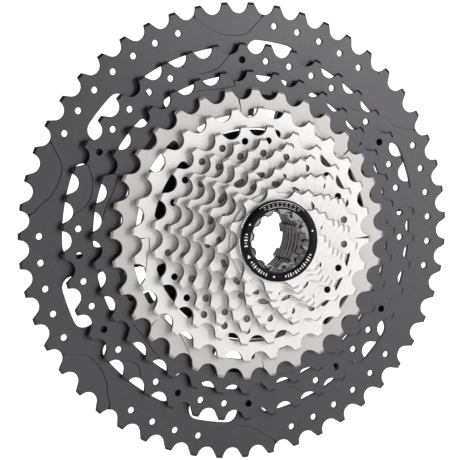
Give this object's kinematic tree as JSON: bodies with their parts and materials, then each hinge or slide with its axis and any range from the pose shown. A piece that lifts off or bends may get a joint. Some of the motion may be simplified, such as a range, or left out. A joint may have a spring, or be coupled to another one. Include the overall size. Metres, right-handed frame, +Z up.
{
  "type": "bicycle cassette",
  "caption": "Bicycle rear cassette: toothed sprockets of falling size, the largest riveted to a spider, the rest loose on freehub splines, held by a lockring.",
  "frame": {"origin": "on the axle, in the plane where the spider's hub seats against the freehub's shoulder", "axes": "+Y along the axle from the smallest sprocket towards the largest, +Z up, +X to the right seen from the small sprockets"},
  "size_m": [0.2078, 0.0473, 0.2078],
  "materials": {
    "graphite_sprocket": "dark graphite anodised, satin",
    "nickel_sprocket": "satin nickel plated",
    "spider": "black anodised, matt",
    "rivet": "plain steel",
    "spacer": "black anodised",
    "washer": "knurled, nickel plated",
    "lockring": "black anodised, gloss, with a bevelled grey edge"
  },
  "bodies": {
    "cluster": {"spider": "spider", "sprocket_51": "graphite_sprocket", "sprocket_42": "graphite_sprocket", "sprocket_36": "graphite_sprocket", "sprocket_32": "nickel_sprocket", "rivet_42_1": "rivet", "rivet_42_2": "rivet", "rivet_42_3": "rivet", "rivet_42_4": "rivet", "rivet_42_5": "rivet", "rivet_42_6": "rivet", "rivet_36_1": "rivet", "rivet_36_2": "rivet", "rivet_36_3": "rivet", "rivet_36_4": "rivet", "rivet_36_5": "rivet", "rivet_36_6": "rivet", "rivet_32_1": "rivet", "rivet_32_2": "rivet", "rivet_32_3": "rivet", "rivet_32_4": "rivet", "rivet_32_5": "rivet", "rivet_32_6": "rivet"},
    "cog_28": {"sprocket_28": "nickel_sprocket"},
    "cog_24": {"spacer_28_24": "spacer", "sprocket_24": "nickel_sprocket"},
    "cog_21": {"spacer_24_21": "spacer", "sprocket_21": "nickel_sprocket"},
    "cog_19": {"spacer_21_19": "spacer", "sprocket_19": "nickel_sprocket"},
    "cog_17": {"spacer_19_17": "spacer", "sprocket_17": "nickel_sprocket"},
    "cog_15": {"spacer_17_15": "spacer", "sprocket_15": "nickel_sprocket"},
    "cog_13": {"spacer_15_13": "spacer", "sprocket_13": "nickel_sprocket"},
    "cog_11": {"spacer_13_11": "spacer", "sprocket_11": "nickel_sprocket"},
    "washer": {"lockring_washer": "washer"},
    "lockring": {"lockring": "lockring"}
  },
  "joints": [
    {"name": "slide_28", "type": "slide", "parent": "cluster", "child": "cog_28", "axis": [0, -1, 0], "range_m": [0, 0.0298]},
    {"name": "slide_24", "type": "slide", "parent": "cog_28", "child": "cog_24", "axis": [0, -1, 0], "range_m": [0, 0.02605]},
    {"name": "slide_21", "type": "slide", "parent": "cog_24", "child": "cog_21", "axis": [0, -1, 0], "range_m": [0, 0.0223]},
    {"name": "slide_19", "type": "slide", "parent": "cog_21", "child": "cog_19", "axis": [0, -1, 0], "range_m": [0, 0.01855]},
    {"name": "slide_17", "type": "slide", "parent": "cog_19", "child": "cog_17", "axis": [0, -1, 0], "range_m": [0, 0.0148]},
    {"name": "slide_15", "type": "slide", "parent": "cog_17", "child": "cog_15", "axis": [0, -1, 0], "range_m": [0, 0.01105]},
    {"name": "slide_13", "type": "slide", "parent": "cog_15", "child": "cog_13", "axis": [0, -1, 0], "range_m": [0, 0.0073]},
    {"name": "slide_11", "type": "slide", "parent": "cog_13", "child": "cog_11", "axis": [0, -1, 0], "range_m": [0, 0.00355]},
    {"name": "lockring_feed", "type": "slide", "parent": "cog_11", "child": "washer", "axis": [0, -1, 0], "range_m": [0, 0.00501]},
    {"name": "lockring_turn", "type": "hinge", "parent": "washer", "child": "lockring", "pos_m": [0, -0.038, 0], "axis": [0, -1, 0], "range_deg": [0, 1800]}
  ],
  "couplings": [
    {"joint": "lockring_feed", "follows": "lockring_turn", "m_per_rad": 0.00015915}
  ]
}
